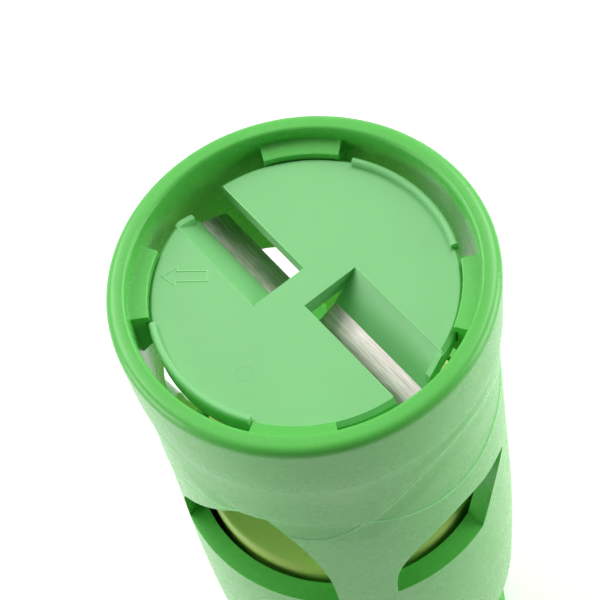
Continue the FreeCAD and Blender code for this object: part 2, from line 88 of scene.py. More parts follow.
class CutterColours(bpy.types.PropertyGroup):
    """Colours of the mouldings and metals."""
    housing: FloatVectorProperty(
        name="Housing", description="Colour of the housing, hooks and crank", subtype="COLOR",
        default=linear("62CE57")[:3])
    plate: FloatVectorProperty(
        name="Blade plate", description="Colour of the blade plate", subtype="COLOR", default=linear("8CDA8E")[:3])
    pusher: FloatVectorProperty(
        name="Pusher", description="Colour of the pusher and the knob", subtype="COLOR",
        default=linear("CBEE7C")[:3])
    rubber: FloatVectorProperty(
        name="Rubber", description="Colour of the soft rings", subtype="COLOR", default=linear("3E7348")[:3])
    blade: FloatVectorProperty(
        name="Blade steel", description="Colour of the ground strip", subtype="COLOR", default=linear("DAD3CD")[:3])
    wire: FloatVectorProperty(
        name="Wire steel", description="Colour of the pins, rivets and screws", subtype="COLOR",
        default=linear("C9C8C6")[:3])


class StageSettings(bpy.types.PropertyGroup):
    """Camera and light."""
    lens: FloatProperty(name="Lens", description="Focal length on a 36 mm sensor", default=91.27)
    azimuth: FloatProperty(
        name="Azimuth", description="Camera's bearing about the tool", default=math.radians(-74.5), subtype="ANGLE")
    elevation: FloatProperty(
        name="Elevation", description="Camera's height above the horizon", default=math.radians(58.48),
        subtype="ANGLE")
    roll: FloatProperty(
        name="Roll", description="Camera's turn about its own axis", default=math.radians(-13.66), subtype="ANGLE")
    distance: FloatProperty(
        name="Distance", description="From the rim's centre along the camera's axis", default=0.2655, unit="LENGTH")
    offset: FloatVectorProperty(
        name="Offset", description="Rim centre's place right of and above the camera's axis", size=2,
        default=(0.00126, 0.00470))
    key_power: FloatProperty(
        name="Key light", description="Power of the rear lamps together", default=7.0, unit="POWER")
    left_power: FloatProperty(name="Left light", description="Power of the left lamp", default=1.8, unit="POWER")
    right_power: FloatProperty(name="Right light", description="Power of the right lamp", default=2.2, unit="POWER")
    sky_level: FloatProperty(name="Sky level", description="Brightness of the studio's walls", default=0.2)


# ---------------------------------------------------------------- helpers

def add_node(tree, kind, settings=None, inputs=None):
    """Adds one node. Each input gets a value, or the output socket that feeds it."""
    node = tree.nodes.new(kind)
    for name, value in (settings or {}).items():
        setattr(node, name, value)
    for socket, value in (inputs or {}).items():
        if isinstance(value, bpy.types.NodeSocket):
            tree.links.new(value, node.inputs[socket])
        else:
            node.inputs[socket].default_value = value
    return node


def empty_material(name):
    """New material whose tree holds only its output."""
    material = bpy.data.materials.new(name)
    material.use_nodes = True
    material.node_tree.nodes.clear()
    return material


def shade_smooth(mesh, degrees):
    """Smooth shading, except over edges sharper than an angle."""
    mesh.polygons.foreach_set("use_smooth", [True] * len(mesh.polygons))
    mesh.set_sharp_from_angle(angle=math.radians(degrees))


def new_object(name, mesh, body, material, smooth_angle=35.0):
    """Object that rides on a body, with one material and smooth shading up to an angle."""
    piece = bpy.data.objects.new(name, mesh)
    bpy.context.collection.objects.link(piece)
    mesh.materials.clear()
    mesh.materials.append(material)
    shade_smooth(mesh, smooth_angle)
    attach(piece, body)
    return piece


def grid_mesh(name, points, close_rows):
    """Mesh of quads over an array of points (rows, columns, 3), closed across its columns."""
    rows, columns, _ = points.shape
    row_steps = rows if close_rows else rows - 1
    faces = []
    for row in range(row_steps):
        below = row * columns
        above = (row + 1) % rows * columns
        for column in range(columns):
            beside = (column + 1) % columns
            faces.append((below + column, below + beside, above + beside, above + column))
    mesh = bpy.data.meshes.new(name)
    mesh.from_pydata(points.reshape(-1, 3).tolist(), [], faces)
    mesh.update()
    return mesh


def swept_mesh(name, section, bearings):
    """Closed solid: a (radius, depth) section in millimetres, swept round the axis through bearings in degrees."""
    section = np.array(section) * millimetre
    rows = np.array([[(radius * math.cos(angle), radius * math.sin(angle), rim_height - depth)
                      for radius, depth in section] for angle in np.radians(bearings)])
    mesh = grid_mesh(name, rows, False)
    form = bmesh.new()
    form.from_mesh(mesh)
    bmesh.ops.holes_fill(form, edges=[edge for edge in form.edges if edge.is_boundary])
    bmesh.ops.recalc_face_normals(form, faces=form.faces)
    form.to_mesh(mesh)
    form.free()
    return mesh


def smooth_curve(knots, steps):
    """Points of the natural cubic spline through the knots, spaced by chord length."""
    knots = np.array(knots, float)
    lengths = np.linalg.norm(np.diff(knots, axis=0), axis=1)
    places = np.concatenate([[0], np.cumsum(lengths)])
    count = len(knots)
    system = np.eye(count)
    right = np.zeros_like(knots)
    for i in range(1, count - 1):
        before, after = lengths[i - 1], lengths[i]
        system[i, i - 1:i + 2] = before, 2 * (before + after), after
        right[i] = 6 * ((knots[i + 1] - knots[i]) / after - (knots[i] - knots[i - 1]) / before)
    bends = np.linalg.solve(system, right)
    result = []
    for t in np.linspace(0, places[-1], steps):
        i = min(np.searchsorted(places, t, side="right") - 1, count - 2)
        span = lengths[i]
        a, b = (places[i + 1] - t) / span, (t - places[i]) / span
        result.append(a * knots[i] + b * knots[i + 1]
                      + ((a ** 3 - a) * bends[i] + (b ** 3 - b) * bends[i + 1]) * span ** 2 / 6)
    return np.array(result)


def ease(value, start, end):
    """Smooth step from 0 at start to 1 at end."""
    t = np.clip((value - start) / (end - start), 0, 1)
    return t * t * (3 - 2 * t)


def cut(piece, cutters, operation="DIFFERENCE"):
    """Applies booleans with meshes and removes them."""
    for cutter in cutters:
        modifier = piece.modifiers.new("cut", "BOOLEAN")
        modifier.operation = operation
        modifier.solver = "EXACT"
        modifier.object = cutter
    apply_modifiers(piece)
    for cutter in cutters:
        mesh = cutter.data
        bpy.data.objects.remove(cutter)
        bpy.data.meshes.remove(mesh)


def apply_modifiers(piece):
    """Replaces a piece's mesh with the one its modifiers give."""
    graph = bpy.context.evaluated_depsgraph_get()
    mesh = bpy.data.meshes.new_from_object(piece.evaluated_get(graph))
    old = piece.data
    piece.modifiers.clear()
    piece.data = mesh
    bpy.data.meshes.remove(old)


def loose_object(name, mesh):
    """Object for a boolean, without a body."""
    piece = bpy.data.objects.new(name, mesh)
    bpy.context.collection.objects.link(piece)
    return piece


def prism(name, outline, direction):
    """Closed prism over a planar outline."""
    mesh = bpy.data.meshes.new(name)
    form = bmesh.new()
    start = [form.verts.new(point) for point in outline]
    end = [form.verts.new(Vector(point) + Vector(direction)) for point in outline]
    form.faces.new(start[::-1])
    form.faces.new(end)
    count = len(outline)
    for i in range(count):
        form.faces.new((start[i], start[(i + 1) % count], end[(i + 1) % count], end[i]))
    bmesh.ops.recalc_face_normals(form, faces=form.faces)
    form.to_mesh(mesh)
    form.free()
    return loose_object(name, mesh)


def round_edges(piece, width, angle=30.0, segments=2):
    """Small moulded edge on every sharp corner."""
    modifier = piece.modifiers.new("moulded edge", "BEVEL")
    modifier.width = width
    modifier.segments = segments
    modifier.limit_method = "ANGLE"
    modifier.angle_limit = math.radians(angle)
    modifier.harden_normals = True
    modifier.use_clamp_overlap = True


# ---------------------------------------------------------------- materials

def opaque(colour, factor=1.0):
    """Colour with full alpha, made lighter or darker by a factor."""
    return tuple(min(1.0, channel * factor) for channel in colour) + (1.0,)


def moulded_plastic(name, colour, roughness, gloss_spread, flow, grain_mm, translucence):
    """Injection-moulded polypropylene: even colour with faint flow clouds, a soft sheen and a fine orange peel."""
    material = empty_material(name)
    tree = material.node_tree
    place = add_node(tree, "ShaderNodeTexCoord").outputs["Object"]
    clouds = add_node(tree, "ShaderNodeTexNoise", inputs={
        "Vector": place, "Scale": 1 / (14 * millimetre), "Detail": 3.0, "Roughness": 0.55})
    mix = add_node(tree, "ShaderNodeMix", {"data_type": "RGBA"}, {
        0: clouds.outputs["Fac"], 6: opaque(colour, 1 - flow), 7: opaque(colour, 1 + flow)})
    smear = add_node(tree, "ShaderNodeTexNoise", inputs={
        "Vector": place, "Scale": 1 / (5 * millimetre), "Detail": 4.0, "Roughness": 0.6})
    gloss = add_node(tree, "ShaderNodeMapRange", inputs={
        "Value": smear.outputs["Fac"], "From Min": 0.3, "From Max": 0.7,
        "To Min": roughness - gloss_spread, "To Max": roughness + gloss_spread})
    grain = add_node(tree, "ShaderNodeTexNoise", inputs={
        "Vector": place, "Scale": 1 / (grain_mm * millimetre), "Detail": 2.0})
    bump = add_node(tree, "ShaderNodeBump", inputs={
        "Strength": 0.025, "Distance": 0.00006, "Height": grain.outputs["Fac"]})
    shader = add_node(tree, "ShaderNodeBsdfPrincipled", inputs={
        "Base Color": mix.outputs[2], "Roughness": gloss.outputs["Result"], "Normal": bump.outputs["Normal"],
        "IOR": 1.49, "Subsurface Weight": translucence, "Subsurface Scale": 0.0025,
        "Subsurface Radius": (0.5, 1.0, 0.35)})
    add_node(tree, "ShaderNodeOutputMaterial", inputs={"Surface": shader.outputs["BSDF"]})
    return material


def ground_steel(name, colour, roughness, direction_degrees, line_mm):
    """Ground or drawn stainless: fine lines along the metal break the reflection into streaks. Real lines are
    about 0.03 mm apart. They are drawn coarser here, or they would not show."""
    material = empty_material(name)
    tree = material.node_tree
    place = add_node(tree, "ShaderNodeTexCoord").outputs["Object"]
    turn = add_node(tree, "ShaderNodeMapping", {"vector_type": "TEXTURE"}, {
        "Vector": place, "Rotation": (0.0, 0.0, math.radians(direction_degrees))})
    stretch = add_node(tree, "ShaderNodeMapping", {"vector_type": "POINT"}, {
        "Vector": turn.outputs["Vector"], "Scale": (0.04, 1.0, 1.0)})
    lines = add_node(tree, "ShaderNodeTexNoise", inputs={
        "Vector": stretch.outputs["Vector"], "Scale": 1 / (line_mm * millimetre), "Detail": 3.0, "Roughness": 0.7})
    stains = add_node(tree, "ShaderNodeTexNoise", inputs={
        "Vector": place, "Scale": 1 / (3 * millimetre), "Detail": 4.0})
    shade = add_node(tree, "ShaderNodeMapRange", inputs={
        "Value": lines.outputs["Fac"], "From Min": 0.3, "From Max": 0.7, "To Min": 0.0, "To Max": 1.0})
    streaks = add_node(tree, "ShaderNodeMix", {"data_type": "RGBA"}, {
        0: shade.outputs["Result"], 6: opaque(colour, 0.5), 7: opaque(colour)})
    gloss = add_node(tree, "ShaderNodeMapRange", inputs={
        "Value": stains.outputs["Fac"], "From Min": 0.3, "From Max": 0.7,
        "To Min": roughness - 0.06, "To Max": roughness + 0.08})
    bump = add_node(tree, "ShaderNodeBump", inputs={
        "Strength": 0.25, "Distance": 0.00003, "Height": lines.outputs["Fac"]})
    shader = add_node(tree, "ShaderNodeBsdfPrincipled", inputs={
        "Base Color": streaks.outputs[2], "Metallic": 1.0, "Roughness": gloss.outputs["Result"],
        "Normal": bump.outputs["Normal"]})
    add_node(tree, "ShaderNodeOutputMaterial", inputs={"Surface": shader.outputs["BSDF"]})
    return material


def soft_rubber(name, colour):
    """Thermoplastic rubber: matte, with a fine moulded grain and a slight bloom."""
    material = empty_material(name)
    tree = material.node_tree
    place = add_node(tree, "ShaderNodeTexCoord").outputs["Object"]
    bloom = add_node(tree, "ShaderNodeTexNoise", inputs={
        "Vector": place, "Scale": 1 / (6 * millimetre), "Detail": 4.0})
    mix = add_node(tree, "ShaderNodeMix", {"data_type": "RGBA"}, {
        0: bloom.outputs["Fac"], 6: opaque(colour, 0.85), 7: opaque(colour, 1.35)})
    grain = add_node(tree, "ShaderNodeTexNoise", inputs={
        "Vector": place, "Scale": 1 / (0.4 * millimetre), "Detail": 2.0})
    bump = add_node(tree, "ShaderNodeBump", inputs={
        "Strength": 0.3, "Distance": 0.00008, "Height": grain.outputs["Fac"]})
    shader = add_node(tree, "ShaderNodeBsdfPrincipled", inputs={
        "Base Color": mix.outputs[2], "Roughness": 0.68, "Normal": bump.outputs["Normal"], "IOR": 1.5})
    add_node(tree, "ShaderNodeOutputMaterial", inputs={"Surface": shader.outputs["BSDF"]})
    return material


def finishes():
    """Every finish of the tool, by name, made once."""
    if "moulded polypropylene, green" not in bpy.data.materials:
        colours = bpy.context.scene.cutter_colours
        moulded_plastic("moulded polypropylene, green", colours.housing, 0.27, 0.03, 0.05, 0.9, 0.06)
        moulded_plastic("moulded polypropylene, plate green", colours.plate, 0.36, 0.04, 0.04, 0.7, 0.10)
        moulded_plastic("moulded polypropylene, lime", colours.pusher, 0.30, 0.04, 0.05, 0.8, 0.15)
        # Throat edges and arrow line: the plate green lifted 1.3 times, a painted highlight along raised edges
        moulded_plastic("polypropylene, painted edge highlight, pale green", opaque(colours.plate, 1.3)[:3], 0.5, 0.05,
                        0.04, 0.7, 0.10)
        # Wave edges: the plate green lifted 1.45 times, a painted highlight where light catches the rounded edge
        moulded_plastic("polypropylene, painted highlight on wave edge", opaque(colours.plate, 1.45)[:3], 0.45, 0.05,
                        0.04, 0.7, 0.10)
        ground_steel("ground stainless strip", colours.blade, 0.42, 132.4, 0.3)
        ground_steel("drawn stainless wire", colours.wire, 0.24, 0.0, 0.2)
        soft_rubber("moulded soft rubber", colours.rubber)
    return bpy.data.materials


def dress(material_name, *nodes):
    """Gives pieces of the frame their finish."""
    for node in nodes:
        piece = bpy.data.objects[node]
        for slot in piece.material_slots:
            slot.material = finishes()[material_name]


# ---------------------------------------------------------------- housing

# Side of the tube below the rim: depth below the rim and radius, in millimetres
side_profile = [(2.0, 35.0), (9.0, 35.0), (15.4, 34.9), (22.0, 34.5), (30.0, 34.3), (45.0, 34.6), (62.0, 35.1),
                (78.0, 35.65), (94.0, 36.05), (110.0, 36.1), (125.0, 35.9)]
side_curve = smooth_curve(side_profile, 400)
# Waves round the waist: middle depth and swing in millimetres, and the bearings of their three crests in degrees
tall_wave = (29.5, 9.2, (-145.0, -36.0, 95.0))
low_wave = (35.9, 4.6, (-96.0, 24.0, 144.0))
# Level foot of the rim's band, written like the waves
band_foot = (15.5, 0.0, (-120.0, 0.0, 120.0))
seam_bearing = -36.0
# Window outlines, as bearing in degrees and depth in millimetres: up from one end of the sill, and down to the other
sill_depth = 70.0
front_left_window = (
    [(-152, sill_depth), (-150, 60), (-144.8, 53), (-134, 45.2), (-122, 37.6), (-112.5, 32.3)],
    [(-105.4, 31.9), (-100.7, 36.0), (-93, 46.5), (-88.5, 58), (-87, sill_depth)])
right_window = (
    [(-68, sill_depth), (-65.5, 60), (-60, 54.8), (-51.4, 51.2), (-43.5, 49.3), (-36, 49.2), (-27, 51.0),
     (-18, 53.2), (-11.5, 55.8)],
    [(-11.5, 56.4), (-17.8, 58.9), (-25.2, 64.2), (-31, sill_depth)])
rear_left_window = (
    [(103, sill_depth), (104.5, 55), (108, 44.5), (113, 38), (119, 36), (140, 33.5), (165, 32.8), (176.5, 33.8),
     (180, 38), (179, 43)],
    [(178, 44.8), (174, 47.2), (170.3, 54.5), (165.6, 64), (163, sill_depth)])
front_left_middle, right_middle, rear_left_middle = -119.0, -40.0, 138.0
rear_right_turn = 173.0
# Snap hooks: bearings of their middles and their span, in degrees
hook_bearings = (-4.5, 94.6, 179.9, 270.5)
hook_span = 28.8
# Section of a hook as (radius, depth) in millimetres
hook_section = [(31.7, 2.92), (28.15, 3.5), (28.0, 3.65), (28.0, 5.2), (28.7, 5.2), (28.7, 8.7), (26.7, 8.7),
                (26.7, 10.1), (31.2, 14.6), (31.7, 14.6)]


def wave_phase(bearing, crests):
    """Turns of the wave at a bearing, whole at each crest."""
    around = [crests[-1] - 360.0] + list(crests) + [crests[0] + 360.0]
    wrapped = (bearing - around[0]) % 360.0 + around[0]
    return np.interp(wrapped, around, range(len(around)))


def wave_depth(bearing, middle, swing, crests):
    """Depth of a wave below the rim at a bearing, in millimetres."""
    return middle - swing * np.cos(2 * math.pi * wave_phase(bearing, crests))


def relief(bearing, depth, step):
    """How far the wall stands out, in metres. Below the rim's band and above the ribbon the wall steps in, and each
    step leans under, so it catches the floor's light as a pale line."""
    tall, low = wave_depth(bearing, *tall_wave), wave_depth(bearing, *low_wave)
    ribbon_top = np.minimum(tall, low)
    ribbon_foot = np.maximum(tall, low)
    band_step, ledge_step, half_ledge = 0.9, 0.8, 0.55
    band = band_step * ease(depth, 16.8, ribbon_top - 0.8) - band_step * ease(depth, 14.9, 16.1)
    ledge = (ledge_step * ease(depth, ribbon_top + 1.0, ribbon_top + 8.0)
             - ledge_step * ease(depth, ribbon_top - half_ledge, ribbon_top + half_ledge))
    # The ribbon's lower edge stands out on two sides of the tube and steps in on the other two
    lean = np.cos(2 * np.radians(bearing + 35.0))
    fold = np.where(lean > 0, 0.4, 0.35) * lean
    foot = fold * ease(depth, ribbon_foot - 0.3, ribbon_foot + 0.3) * (1 - ease(depth, 52.0, 66.0))
    seam = 0.25 * np.exp(-((bearing - seam_bearing) / 0.3) ** 2) * (1 - ease(depth, 66.0, 70.0))
    return step * (band + ledge + foot + seam)


def housing_rows(sizes):
    """Cross-section of the tube as (radius, depth) in metres, up the bore, over the rim and down the outside."""
    bore = sizes.bore_radius
    inner_round = sizes.rim_inner_round
    outer_round = sizes.rim_round
    length = rim_height - foot_height
    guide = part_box("guide_ring")
    running_gap, lip_step, lip_height = 0.0003, 0.0007, 0.0016
    seat_top = rim_height - guide[1].z - running_gap
    seat_radius = guide[1].x + running_gap
    lip_radius = seat_radius - lip_step
    lip_depth = length - lip_height
    inside = [(lip_radius, length), (lip_radius, lip_depth), (seat_radius, lip_depth), (seat_radius, seat_top),
              (bore, seat_top)]
    inside += [(bore, depth) for depth in np.linspace(seat_top - 0.002, 0.002, 60)]
    for angle in np.linspace(0, math.pi / 2, 7):
        inside.append((bore + inner_round * (1 - math.cos(angle)), inner_round * (1 - math.sin(angle))))
    outside = []
    for angle in np.linspace(math.pi / 2, 0, 10):
        outside.append((sizes.rim_radius - outer_round * (1 - math.cos(angle)), outer_round * (1 - math.sin(angle))))
    return inside, outside


def wall_radius(bearing, depth, step):
    """Radius of the outside wall, in metres, at a bearing in degrees and a depth in millimetres."""
    return np.interp(depth, side_curve[:, 0], side_curve[:, 1]) * millimetre + relief(bearing, depth, step)


def smooth_wall(mesh, step):
    """Shades the outside wall by its true slope, whatever faces the window cuts left in it."""
    places = np.zeros(len(mesh.vertices) * 3)
    mesh.vertices.foreach_get("co", places)
    corners = np.zeros(len(mesh.loops), int)
    mesh.loops.foreach_get("vertex_index", corners)
    facings = np.zeros(len(mesh.polygons) * 3)
    mesh.polygons.foreach_get("normal", facings)
    middles = np.zeros(len(mesh.polygons) * 3)
    mesh.polygons.foreach_get("center", middles)
    sizes = np.zeros(len(mesh.polygons), int)
    mesh.polygons.foreach_get("loop_total", sizes)
    facings, middles, places = facings.reshape(-1, 3), middles.reshape(-1, 3), places.reshape(-1, 3)[corners]
    reach = np.hypot(middles[:, 0], middles[:, 1])
    outward = (facings[:, 0] * middles[:, 0] + facings[:, 1] * middles[:, 1]) / reach
    bore_side, rim_corner = 0.0334, 2.0 * millimetre
    on_wall = (outward > 0.7) & (reach > bore_side) & (middles[:, 2] < rim_height - rim_corner)
    chosen = np.repeat(on_wall, sizes)
    angle = np.arctan2(places[:, 1], places[:, 0])
    depth = (rim_height - places[:, 2]) / millimetre
    nudge, mean_radius = 0.05, 0.035
    rise = (wall_radius(np.degrees(angle), depth + nudge, step)
            - wall_radius(np.degrees(angle), depth - nudge, step)) / (2 * nudge * millimetre)
    turn = (wall_radius(np.degrees(angle) + nudge, depth, step)
            - wall_radius(np.degrees(angle) - nudge, depth, step)) / (2 * math.radians(nudge) * mean_radius)
    slopes = np.stack([np.cos(angle) + turn * np.sin(angle), np.sin(angle) - turn * np.cos(angle), rise], axis=1)
    slopes /= np.linalg.norm(slopes, axis=1)[:, None]
    slopes[~chosen] = 0
    mesh.normals_split_custom_set(slopes.tolist())


def outer_wall(columns, sizes):
    """Rows of the outside wall with its waves."""
    depths = np.concatenate([np.linspace(2.0, 14.8, 20), np.linspace(15.1, 15.8, 8), np.linspace(16.1, 45.0, 150),
                             np.linspace(45.6, 70.0, 40), np.linspace(71.0, 125.0, 40)])
    bearings = np.degrees(np.arange(columns) * 2 * math.pi / columns)
    bearings = (bearings + 180.0) % 360.0 - 180.0
    rows = []
    for depth in depths:
        radii = wall_radius(bearings, depth, sizes.wave_step)
        angle = np.radians(bearings)
        rows.append(np.stack([radii * np.cos(angle), radii * np.sin(angle),
                              np.full(columns, rim_height - depth * millimetre)], axis=1))
    return np.array(rows)


def window_cutter(curves, middle, turn=0.0):
    """Straight side core that opens one window."""
    wall_face = 35.1
    core_start, core_length = 0.010, 0.032
    outline = []
    for curve in curves:
        knots = [(wall_face * math.sin(math.radians(angle - middle)), depth) for angle, depth in curve]
        for across, depth in smooth_curve(knots, 48):
            outline.append(Vector((core_start, across * millimetre, rim_height - depth * millimetre)))
    core = prism("window core", outline, (core_length, 0, 0))
    core.data.transform(Matrix.Rotation(math.radians(middle + turn), 4, "Z"))
    return core


def window_cutters():
    """One core for each window."""
    return [
        window_cutter(front_left_window, front_left_middle),
        window_cutter(right_window, right_middle),
        window_cutter(front_left_window, front_left_middle, rear_right_turn),
        window_cutter(rear_left_window, rear_left_middle),
    ]


def build_wave_lines(sizes):
    """Rounded edge along each wave and the band's foot, painted pale as a highlight where light catches it, and broken
    by the windows.
    """
    bearings = np.linspace(-180, 180, 720, endpoint=False)
    angles = np.radians(bearings)
    sunk = 0.3 * sizes.wave_line
    for number, wave in enumerate((tall_wave, low_wave, band_foot)):
        depths = wave_depth(bearings, *wave)
        radii = wall_radius(bearings, depths, sizes.wave_step) - sunk
        points = [Vector((radius * math.cos(angle), radius * math.sin(angle), rim_height - depth * millimetre))
                  for radius, angle, depth in zip(radii, angles, depths)]
        line = raised_line("wave_line_%d" % (number + 1), points, sizes.wave_line, True, "housing",
                           finishes()["polypropylene, painted highlight on wave edge"])
        cut(line, window_cutters())
        shade_smooth(line.data, 40)


def build_housing(sizes):
    """Tube with its rim, waves and windows."""
    columns = 600
    inside, rim = housing_rows(sizes)
    angle = np.arange(columns) * 2 * math.pi / columns
    ring_rows = []
    for radius, depth in inside + rim:
        ring_rows.append(np.stack([radius * np.cos(angle), radius * np.sin(angle),
                                   np.full(columns, rim_height - depth)], axis=1))
    rows = np.concatenate([np.array(ring_rows), outer_wall(columns, sizes)[1:]])
    mesh = grid_mesh("housing tube", rows, True)
    plastic = finishes()["moulded polypropylene, green"]
    piece = new_object("housing_tube", mesh, "housing", plastic, 40.0)
    cut(piece, window_cutters())
    shade_smooth(piece.data, 40)
    smooth_wall(piece.data, sizes.wave_step)
    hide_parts("housing")


def build_hooks():
    """Four hooks over the plate's edge, each with the ledge that carries the plate."""
    for number, middle in enumerate(hook_bearings):
        mesh = swept_mesh("snap hook", hook_section, np.linspace(middle - hook_span / 2, middle + hook_span / 2, 40))
        piece = new_object("snap_hook_%d" % (number + 1), mesh, "housing",
                           finishes()["moulded polypropylene, green"])
        round_edges(piece, 0.00022, 32.0)


# ---------------------------------------------------------------- blade plate

throat_bearing = math.radians(132.4)
# Depths of the plate's top, of the foot of its sloping edge and of its underside, in millimetres
plate_top, plate_shoulder, plate_foot = 4.9, 5.7, 8.7
# Radii of the plate's flat face and of the whole plate, in millimetres
face_radius, plate_radius = 27.5, 28.3
# A throat's inner end, its end past the plate and its two walls, in millimetres
throat_start, throat_end, throat_near, throat_far = 3.0, 40.0, -9.3, 2.5
# Depths above the plate and below its ramps, between which cuts run, in millimetres
cut_top, cut_foot = 3.0, 13.0


def plate_place(along, across, depth, half_turns=0):
    """Point of a throat: out along it, across towards its far wall, and down from the rim, in millimetres."""
    flip = 1 - 2 * half_turns
    outward = Vector((math.cos(throat_bearing), math.sin(throat_bearing), 0)) * flip
    sideways = Vector((math.sin(throat_bearing), -math.cos(throat_bearing), 0)) * flip
    place = (outward * along + sideways * across) * millimetre
    place.z = rim_height - depth * millimetre
    return place


def lathe(name, section, columns):
    """Closed solid turned from a (radius, depth) section whose ends lie on the axis, in millimetres."""
    angle = np.arange(columns) * 2 * math.pi / columns
    form = bmesh.new()
    rings = []
    for radius, depth in section:
        height = rim_height - depth * millimetre
        if radius == 0:
            rings.append([form.verts.new((0, 0, height))])
        else:
            rings.append([form.verts.new((radius * millimetre * math.cos(a), radius * millimetre * math.sin(a), height))
                          for a in angle])
    for lower, upper in zip(rings, rings[1:]):
        for i in range(columns):
            j = (i + 1) % columns
            corners = [lower[i % len(lower)], lower[j % len(lower)], upper[j % len(upper)], upper[i % len(upper)]]
            unique = list(dict.fromkeys(corners))
            form.faces.new(unique)
    bmesh.ops.recalc_face_normals(form, faces=form.faces)
    mesh = bpy.data.meshes.new(name)
    form.to_mesh(mesh)
    form.free()
    return mesh


def plate_trim(radius):
    """Cylinder on the axis, as deep as the plate and its ramps."""
    return loose_object("trim", lathe("trim", [(0, cut_top), (radius, cut_top), (radius, cut_foot), (0, cut_foot)],
                                      256))


def build_plate():
    """Round plate with its two throats, and a ramp down into each."""
    section = [(0, plate_top), (face_radius, plate_top), (plate_radius, plate_shoulder), (plate_radius, plate_foot),
               (0, plate_foot)]
    mesh = lathe("blade plate", section, 256)
    piece = new_object("blade_plate_moulding", mesh, "housing", finishes()["moulded polypropylene, plate green"])
    throat_corners = [(throat_start, throat_near), (throat_end, throat_near), (throat_end, throat_far),
                      (throat_start, throat_far)]
    wedge = [(throat_near, plate_top), (-3.85, 10.8), (-8.35, plate_foot), (throat_near, plate_foot)]
    ramp_end = 30.0
    openings = []
    ramps = []
    for half_turns in (0, 1):
        outline = [plate_place(along, across, cut_top, half_turns) for along, across in throat_corners]
        openings.append(prism("throat", outline, (0, 0, -0.009)))
        outline = [plate_place(throat_start, across, depth, half_turns) for across, depth in wedge]
        ramps.append(prism("ramp", outline, plate_place(ramp_end, 0, 0, half_turns)
                           - plate_place(throat_start, 0, 0, half_turns)))
    for ramp in ramps:
        cut(ramp, [plate_trim(plate_radius)], "INTERSECT")
    cut(piece, openings)
    cut(piece, ramps, "UNION")
    form = bmesh.new()
    form.from_mesh(piece.data)
    bmesh.ops.remove_doubles(form, verts=form.verts, dist=0.000008)
    bmesh.ops.dissolve_limit(form, angle_limit=math.radians(0.5), verts=form.verts, edges=form.edges)
    form.to_mesh(piece.data)
    form.free()
    shade_smooth(piece.data, 30)
    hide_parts("blade_plate")


def build_beads():
    """Rounded beads that stand on the plate's edge, each between two hooks."""
    half_span = 29.0
    section = []
    for angle in np.linspace(math.pi, 0, 9):
        section.append((27.65 + 0.72 * math.cos(angle), 4.35 - 0.75 * math.sin(angle)))
    section += [(plate_radius, 6.2), (27.0, 6.2)]
    for number, middle in enumerate((45.5, 225.5)):
        mesh = swept_mesh("edge bead", section, np.linspace(middle - half_span, middle + half_span, 90))
        bead = new_object("edge_bead_%d" % (number + 1), mesh, "housing",
                          finishes()["moulded polypropylene, plate green"])


def build_throat_edges(sizes):
    """Rounded edge round each throat, painted pale as a highlight along the edge."""
    for half_turns in (0, 1):
        path = [(26.4, throat_near), (throat_start, throat_near), (throat_start, throat_far), (27.2, throat_far)]
        points = [plate_place(along, across, plate_top + 0.1, half_turns) for along, across in path]
        edge = raised_line("throat_edge_%d" % (half_turns + 1), points, sizes.plate_edge, False, "housing",
                           finishes()["polypropylene, painted edge highlight, pale green"])


def raised_line(name, points, width, closed, body, material):
    """Moulded line: a half-sunk round bead along a path."""
    curve = bpy.data.curves.new(name, "CURVE")
    curve.dimensions = "3D"
    curve.bevel_depth = width / 2
    curve.bevel_resolution = 3
    spline = curve.splines.new("POLY")
    spline.points.add(len(points) - 1)
    for target, point in zip(spline.points, points):
        target.co = (*point, 1.0)
    spline.use_cyclic_u = closed
    holder = bpy.data.objects.new(name + " path", curve)
    bpy.context.collection.objects.link(holder)
    mesh = bpy.data.meshes.new_from_object(holder.evaluated_get(bpy.context.evaluated_depsgraph_get()))
    bpy.data.objects.remove(holder)
    bpy.data.curves.remove(curve)
    return new_object(name, mesh, body, material)


def build_webs():
    """Short web across the outer end of each ramp, which ties it to the plate's edge."""
    section = [(-9.1, 5.05), (-8.2, 5.1), (-5.1, 6.9), (-4.9, 8.9), (-9.1, 8.9)]
    start, end = 24.0, 31.0
    inner_radius, outer_radius = 27.2, 28.25
    for half_turns in (0, 1):
        outline = [plate_place(start, across, depth, half_turns) for across, depth in section]
        web = prism("web", outline, plate_place(end, 0, 0, half_turns) - plate_place(start, 0, 0, half_turns))
        cut(web, [plate_trim(outer_radius)], "INTERSECT")
        cut(web, [plate_trim(inner_radius)])
        mesh = web.data
        bpy.data.objects.remove(web)
        piece = new_object("ramp_web_%d" % (half_turns + 1), mesh, "housing",
                           finishes()["moulded polypropylene, plate green"])
        round_edges(piece, 0.00015)


def sunk_line(name, outline, sizes, finish):
    """Low rounded line round a shape on the plate's top, most of it sunk in the plate. Outline in millimetres."""
    # Sunk this far, a bead of this radius is as wide as the setting where it leaves the plate
    radius = 0.62 * sizes.arrow_line
    sunk = 0.6 * radius
    height = rim_height - plate_top * millimetre - sunk
    points = [Vector((x * millimetre, y * millimetre, height)) for x, y in outline]
    line = raised_line(name, points, 2 * radius, True, "housing", finishes()[finish])
    return line


